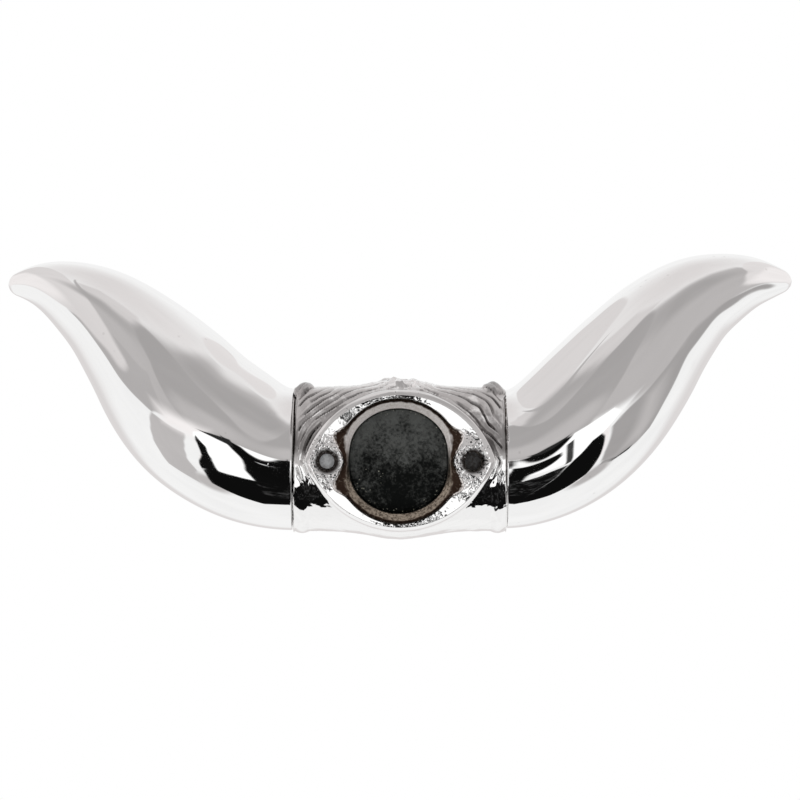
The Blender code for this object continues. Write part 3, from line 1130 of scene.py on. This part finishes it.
    def mesh(self) -> bpy.types.Mesh:
        """Grow the pad from the middle of the pocket's floor to its back."""
        skin = RingSkin(self.sides)
        skin.paint_cap(Zone.POCKET)
        stretches = (
            (self.floor_place, self.floor_rings, range(self.floor_rings), 0.5, Zone.POCKET),
            (self.deep_place, self.wall_rings, range(self.wall_rings), 0.5, Zone.POCKET),
            (self.foot_place, self.foot_rings, range(self.foot_rings + 1), 0.0, Zone.POCKET),
            (self.rise_place, self.rise_rings, range(1, self.rise_rings + 1), 0.0, Zone.POCKET),
            (self.face_place, self.face_rings, range(self.face_rings + 1), 0.0, Zone.PLATED),
            (self.band_place, self.band_rings, range(1, self.band_rings + 1), 0.0, Zone.PLATED),
            (self.back_place, self.back_rings, range(1, self.back_rings + 1), 0.0, Zone.PLATED),
        )
        for place, rings, counts, shift, zone in stretches:
            for count in counts:
                skin.grow(partial(place, (count + shift) / rings), zone)
        return skin.close("mounting_pad")


@dataclass
class HideWrap:
    """Centre casting: barrel and pad in one, with the screw holes."""

    barrel: Barrel
    pad: MountingPad
    screw_diameter: float = 5.15
    screw_depth: float = 4.0
    plug_depth: float = 1.7
    right_stretch: Pair = (1.088, 1.22)
    sharp_angle: float = 60.0

    def build(self, effects: Effects) -> bpy.types.Object:
        """Join the barrel and the pad, cut the screw holes and dress the casting.

        Args:
            effects: the shared node groups.

        Returns:
            The finished casting.
        """
        casting = link_object("hide_wrap_casting", self.barrel.mesh(self.pad))
        pad = link_object("pad_body", self.pad.mesh())
        tools = [(pad, "UNION"), *((self.screw_hole(side), "DIFFERENCE") for side in Side)]
        finishes = {
            Zone.PLATED: CastPlating().material(effects),
            Zone.POCKET: BarePocket().material(effects),
            Zone.SCREW_HOLE: ScrewBore().material(effects),
        }
        for item in (casting, *(tool for tool, _ in tools)):
            for zone in Zone:
                item.data.materials.append(finishes[zone])
        for tool, operation in tools:
            modifier = casting.modifiers.new(tool.name, "BOOLEAN")
            modifier.operation = operation
            modifier.object = tool
        evaluated = casting.evaluated_get(bpy.context.evaluated_depsgraph_get())
        applied = bpy.data.meshes.new_from_object(evaluated)
        casting.modifiers.clear()
        casting.data = applied
        for tool, _ in tools:
            bpy.data.objects.remove(tool, do_unlink=True)
        self.barrel.store_crease_shade(applied, self.pad)
        applied.shade_smooth()
        applied.set_sharp_from_angle(angle=math.radians(self.sharp_angle))
        return casting

    def screw_hole(self, side: Side) -> bpy.types.Object:
        """Return the cutter of one blind hole."""
        bm = bmesh.new()
        left = side is Side.LEFT
        depth = self.plug_depth if left else self.screw_depth
        wide, tall = (1.0, 1.0) if left else self.right_stretch
        place = Matrix.Translation(Vector((side.value * SCREW_SPACING / 2.0, 0.0, 0.0)) * MM)
        stretch = Matrix.Diagonal((wide, 1.0, tall, 1.0))
        radius = self.screw_diameter / 2.0 * MM
        bmesh.ops.create_cone(
            bm, cap_ends=True, segments=64, radius1=radius, radius2=radius, depth=2.0 * depth * MM,
            matrix=place @ stretch @ Matrix.Rotation(math.pi / 2.0, 4, "X"),
        )
        for face in bm.faces:
            face.material_index = Zone.SCREW_HOLE
        mesh = bpy.data.meshes.new("screw_hole")
        bm.to_mesh(mesh)
        bm.free()
        return link_object("screw_hole_" + side.name.lower(), mesh)


LEFT_STATIONS = (
    Station(45.5, 30, 0.9, 25.4),
    Station(54, 30.1, 3.8, 26.2),
    Station(63, 30.5, 9, 26.9),
    Station(72.5, 31.3, 16, 26.8),
    Station(82.5, 32.8, 27.1, 25.4),
    Station(93, 34.8, 39.4, 21.8),
    Station(104.5, 37.2, 50.6, 17.6),
    Station(115.5, 39.8, 57.8, 13.7),
    Station(125.5, 42.2, 62, 9.6),
    Station(133.5, 44.2, 63.2, 6.2),
    Station(138.6, 45.4, 62.9, 3.9),
)
RIGHT_STATIONS = (
    Station(45.5, 30, 1.3, 24.5),
    Station(54, 30.1, 5, 25),
    Station(63, 30.5, 11.5, 25.6),
    Station(72.5, 31.3, 21.1, 25.4),
    Station(82.5, 32.8, 33, 23.7),
    Station(93, 34.8, 45.6, 20.7),
    Station(104.5, 37.2, 55.6, 17.2),
    Station(115.5, 39.8, 60.9, 13.6),
    Station(125.5, 42.2, 63.7, 9.8),
    Station(133.5, 44.2, 64.1, 6.5),
    Station(138.6, 45.4, 64.1, 3.9),
)


@dataclass(frozen=True, kw_only=True)
class Patch:
    """A patch of the studio as the ornament sees it, in azimuths and elevations in degrees.

    Azimuth 0 faces the camera and grows to the camera's right; on the far side it faces away
    from the camera. The edge is the width of the patch's soft border.
    """

    edge: float = 1.5
    far: bool = False
    clutter: bool = False


@dataclass(frozen=True)
class Card(Patch):
    """A patch with straight edges, whose corners run anticlockwise."""

    name: str
    grey: float
    corners: tuple[Pair, ...]

    def inside(self, graph: Graph, heading: Socket) -> Socket:
        """Return how many degrees inside the card a heading lies."""
        nearest = None
        for start, finish in zip(self.corners, self.corners[1:] + self.corners[:1]):
            run, rise = finish[0] - start[0], finish[1] - start[1]
            length = math.hypot(run, rise)
            across, up = -rise / length, run / length
            line = (across, up, -(across * start[0] + up * start[1]))
            distance = graph.measure("DOT_PRODUCT", heading, line)
            nearest = distance if nearest is None else graph.math("MINIMUM", nearest, distance)
        return nearest


@dataclass(frozen=True)
class Dome(Patch):
    """A patch with an oval edge."""

    name: str
    grey: float
    centre: Pair
    reach: Pair

    def inside(self, graph: Graph, heading: Socket) -> Socket:
        """Return about how many degrees inside the oval a heading lies."""
        offset = graph.vector("SUBTRACT", heading, (*self.centre, 1.0))
        scaled = graph.vector("DIVIDE", offset, (*self.reach, 1.0))
        return graph.times(graph.math("SUBTRACT", 1.0, graph.measure("LENGTH", scaled)), min(self.reach))


@dataclass(frozen=True)
class Studio:
    """Camera, floor and the room of cards and panels that the chrome reflects."""

    distance: float = 1.2
    height: float = 0.0213
    frame_width: float = 0.278
    floor_height: float = -0.16
    floor_radius: float = 0.36
    base_grey: float = 241.0
    waver: float = 1.6
    waver_scale: float = 3.5
    unevenness: float = 0.025
    warmth: float = 0.025
    darkest_panel: float = 100.0
    patches: tuple[Card | Dome, ...] = ()

    def camera(self) -> None:
        """Stand the camera square on to the mounting pad."""
        data = bpy.data.cameras.new("camera")
        data.sensor_width = 36.0
        data.lens = data.sensor_width * self.distance / self.frame_width
        item = bpy.data.objects.new("camera", data)
        bpy.context.scene.collection.objects.link(item)
        item.location = (0.0, -self.distance, self.height)
        item.rotation_euler = (math.pi / 2.0, 0.0, 0.0)
        bpy.context.scene.camera = item

    def floor(self, effects: Effects) -> None:
        """Lay a round pale floor under the ornament."""
        bm = bmesh.new()
        bmesh.ops.create_circle(bm, cap_ends=True, cap_tris=True, segments=96, radius=self.floor_radius,
                                matrix=Matrix.Translation((0.0, 0.0, self.floor_height)))
        mesh = bpy.data.meshes.new("floor")
        bm.to_mesh(mesh)
        bm.free()
        item = link_object("floor", mesh)
        mesh.materials.append(StudioPaper().material(effects))
        item.visible_glossy = False
        item.visible_diffuse = False

    def light(self) -> None:
        """Paint the cards over a pale room, and show the camera a plain white backdrop."""
        world = bpy.data.worlds.new("studio")
        bpy.context.scene.world = world
        bpy.context.scene.view_settings.view_transform = "Standard"
        world.use_nodes = True
        graph = Graph(world.node_tree)
        world.node_tree.nodes.clear()
        towards = graph.node("ShaderNodeTexCoord").outputs["Generated"]
        x, y, z = graph.node("ShaderNodeSeparateXYZ", towards).outputs
        elevation = graph.math("DEGREES", graph.math("ARCSINE", z))
        headings = {}
        for far in (False, True):
            ahead = y if far else graph.times(y, -1.0)
            azimuth = graph.math("DEGREES", graph.math("ARCTAN2", x, ahead))
            sway = graph.math("SUBTRACT", graph.noise(towards, self.waver_scale, detail=1.0), 0.5)
            shift = graph.times(sway, 2.0 * self.waver)
            headings[far] = graph.node("ShaderNodeCombineXYZ", graph.plus(azimuth, shift),
                                       graph.math("SUBTRACT", elevation, shift), 1.0).outputs[0]
        value = radiance(self.base_grey)
        shade = (value, value, value, 1.0)
        clutter = graph.noise(towards, 14.0, detail=3.0, roughness=0.7, distortion=0.6)
        clutter = graph.ramp(clutter, 0.5, 0.62)
        for patch in self.patches:
            mask = graph.ramp(patch.inside(graph, headings[patch.far]), -patch.edge / 2.0, patch.edge / 2.0)
            if patch.clutter:
                mask = graph.times(mask, clutter)
            value = radiance(patch.grey)
            warm = self.warmth if self.base_grey > patch.grey > self.darkest_panel else 0.0
            shade = graph.blend(mask, shade, (value * (1.0 + warm), value * (1.0 - warm / 2.0),
                                              value * (1.0 - warm / 1.5), 1.0))
            shade.node.label = patch.name
        uneven = graph.ramp(graph.noise(towards, 2.6, detail=3.0, distortion=0.8), 0.25, 0.75,
                            1.0 - self.unevenness, 1.0 + self.unevenness)
        shade = graph.vector("SCALE", shade, (0.0, 0.0, 0.0), (0.0, 0.0, 0.0), uneven)
        lit = graph.node("ShaderNodeBackground", shade, 1.0).outputs[0]
        backdrop = graph.node("ShaderNodeBackground", WHITE, 1.0).outputs[0]
        seen = graph.node("ShaderNodeLightPath").outputs["Is Camera Ray"]
        mixed = graph.node("ShaderNodeMixShader", seen, lit, backdrop).outputs[0]
        graph.node("ShaderNodeOutputWorld", mixed)


STUDIO_PATCHES = (
    Card("ceiling", 217, ((-200, 58), (200, 58), (200, 160), (-200, 160)), edge=44),
    Card("room_front", 181, ((-62, 6), (-44, -7), (70, -8), (88, 0), (88, 58),
                               (60, 63), (20, 61), (-30, 56), (-60, 50), (-64, 30)),
         edge=10),
    Card("left_corner", 174, ((-76, -2.5), (-51, -12), (-36, -6), (-36, 20), (-56, 20)),
         edge=1.6),
    Card("left_sky", 206, ((-42, 41), (-28, 46), (-10, 56), (-4, 64), (-40, 66),
                             (-60, 58)), edge=5),
    Card("right_wall", 160, ((66, -46), (80, -43), (91, -36), (95, -30), (80, -6),
                               (64, 0), (36, -12), (34, -17), (50, -37), (58, -44)), edge=2.4),
    Card("right_wall_sheen", 184, ((74, -40), (88, -34), (84, -24), (64, -8), (56, -10)),
         edge=14),
    Card("right_wall_edge", 105, ((76, -7.5), (82, -12), (86, -17), (84, -18), (80, -13)),
         edge=1),
    Card("right_skirting", 62, ((62, -47.5), (78, -45), (78, -43), (62, -45)), edge=0.8),
    Card("right_skirting_end", 62, ((78, -45), (88, -38.5), (87, -36.5), (78, -43)), edge=0.8),
    Dome("right_smear", 178, (70, -53), (13, 9), edge=7),
    Card("left_wall", 186, ((-92, -45), (-84, -58), (-58, -50), (-30, -16), (-52, -12.5)),
         edge=1.8),
    Dome("left_smear", 186, (-64, -59), (20, 8), edge=7),
    Card("reflector_rim", 176, ((-46, 36), (-44, 40), (-56, 54), (-66, 62), (-68, 58),
                                  (-55, 47)), edge=2),
    Dome("left_reflector", 213, (-100, 29), (52.5, 34), edge=1.8),
    Dome("reflector_core", 234, (-107, 18), (39, 26), edge=5),
    Dome("right_reflector", 222, (110, 22), (41, 37), edge=2),
    Dome("right_core", 236, (112, 16), (40, 27), edge=5),
    Dome("hood_left", 168, (-42, 43), (22, 6), edge=9),
    Dome("hood_right", 165, (36, 46), (34, 13), edge=14),
    Dome("camera_hood", 164, (-7, 22), (21, 36), edge=2.4),
    Dome("hood_foot", 184, (-6, 8), (18, 10), edge=10),
    Card("left_glow", 240, ((-44, -14), (-14, -18), (-10, -1), (-42, -3)), edge=12),
    Card("right_glow", 246, ((10, -14), (36, -12), (40, -3), (12, -1)), edge=8),
    Card("left_rail", 240, ((-59, -57), (-57, -60), (-30, -34), (-22, -13), (-25, -17),
                              (-35, -35)), edge=1.4),
    Card("right_rail", 238, ((57, -60), (61, -56), (48, -36), (29, -13), (26, -15)),
         edge=1.6),
    Card("left_window", 262, ((-33, -43.5), (-10, -43.5), (-2.5, -12), (-1.5, -4), (-15, -5.8),
                                (-21, -10), (-23, -14)), edge=1.2),
    Card("right_window", 262, ((9.5, -31), (21, -31), (34, -8), (24, -1), (3, -1.5),
                                 (3, -8)), edge=1.2),
    Card("left_black", 13, ((-62, -59), (-55, -70), (-49, -78), (8, -78), (8, -41.5),
                              (-33, -43.5), (-47, -48)), edge=1.2),
    Card("left_black_corner", 13, ((-11, -43), (0, -43), (0, -4), (-2, -12)), edge=1.2),
    Card("left_strut_top", 15, ((-24.5, -18), (-31, -33), (-25, -32), (-20.8, -20), (-21, -13)),
         edge=1),
    Card("left_strut_foot", 15, ((-31, -32), (-40, -41), (-46, -47), (-31.5, -45), (-25, -31)),
         edge=1),
    Card("right_black", 13, ((30, -79), (48, -74), (58, -67), (58.5, -52), (47, -37.5),
                               (33.5, -22), (28, -18), (24, -20), (22, -31)), edge=1.2),
    Card("right_black_foot", 13, ((0, -78), (31, -78), (21, -30), (15, -34.5), (4, -34.5)),
         edge=1.2),
    Card("camera_stand", 12, ((-4, -78), (9.5, -78), (9.5, -19), (7, -15), (-3, -15)), edge=1.2),
    Card("camera_neck", 12, ((-3, -20), (3, -20), (3, -3), (-3, 0)), edge=1.2),
    Card("right_strut", 62, ((5, -9.5), (19, -32.5), (21, -31.5), (6.6, -8)), edge=1),
    Card("small_window", 262, ((0.8, -29), (3.2, -28), (3.4, -15), (1, -14)), edge=0.8),
    Card("left_clutter", 62, ((-24, -66), (-2, -66), (-1, -16), (-10, -44), (-22, -47)),
         clutter=True),
    Card("right_clutter", 58, ((3, -62), (30, -62), (23, -36), (4, -34)), clutter=True),
    Card("left_shelf", 40, ((-1, -7), (1, 0), (-17, -5.2)), edge=1),
    Dome("far_hood", 214, (0, -14), (60, 16), edge=12, far=True),
)


def main() -> None:
    """Build and dress the ornament piece by piece."""
    logging.basicConfig(level=logging.INFO, format="%(name)s: %(message)s")
    effects = Effects.build()
    studio = Studio(patches=STUDIO_PATCHES)
    studio.camera()
    studio.floor(effects)
    studio.light()
    polished = PolishedPlating().material(effects)
    horns = (
        Horn("left_horn_polished", Side.LEFT, 25.1, LEFT_STATIONS),
        Horn("right_horn_polished", Side.RIGHT, 24.6, RIGHT_STATIONS),
    )
    for horn, node in zip(horns, ("left_horn", "right_horn")):
        piece = horn.build()
        piece.data.materials.append(polished)
        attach(piece, BODY)
        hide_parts(node)
        LOG.info("%s: %d faces", piece.name, len(piece.data.polygons))
    casting = HideWrap(Barrel(), MountingPad()).build(effects)
    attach(casting, BODY)
    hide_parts("hide_wrap")
    LOG.info("%s: %d faces", casting.name, len(casting.data.polygons))


if __name__ == "__main__":
    main()
